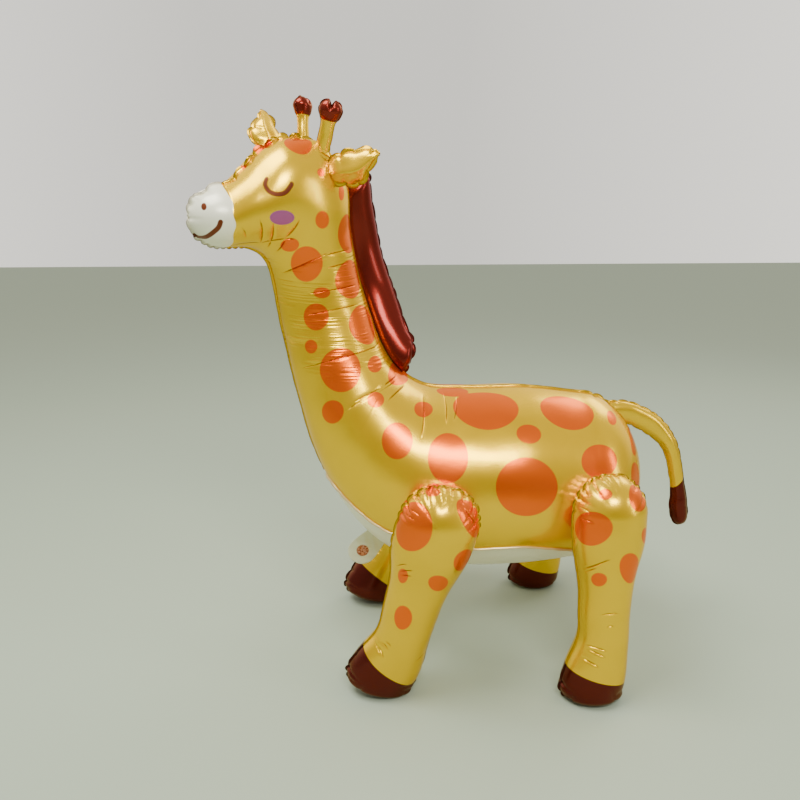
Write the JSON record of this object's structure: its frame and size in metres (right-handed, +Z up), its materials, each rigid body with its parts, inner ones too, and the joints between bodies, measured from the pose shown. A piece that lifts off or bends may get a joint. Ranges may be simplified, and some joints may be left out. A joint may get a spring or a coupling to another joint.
{
  "type": "giraffe foil balloon",
  "caption": "Standing giraffe balloon of sealed metallised film: pillow legs, long turned neck, dark mane, small ears and horns, curved tail and a filling tab.",
  "frame": {"origin": "on the floor under the middle of the figure's bounding box", "axes": "+Z up, -X the way the giraffe faces, -Y its left side"},
  "size_m": [0.699, 0.4022, 0.7728],
  "materials": {
    "yellow_foil": "printed metallised film, bright yellow with orange patches, mirror-like highlights and fine creases",
    "brown_foil": "printed metallised film, dark red-brown, mirror-like highlights and fine creases",
    "pearl_foil": "pearl cream film, softly glossy"
  },
  "bodies": {
    "root": {"body": "yellow_foil", "leg_front_left": "yellow_foil", "leg_front_right": "yellow_foil", "leg_rear_left": "yellow_foil", "leg_rear_right": "yellow_foil", "tail": "yellow_foil", "ear_left": "yellow_foil", "ear_right": "yellow_foil", "horn_left": "brown_foil", "horn_right": "brown_foil", "mane": "brown_foil", "filling_tab": "pearl_foil"}
  },
  "joints": []
}
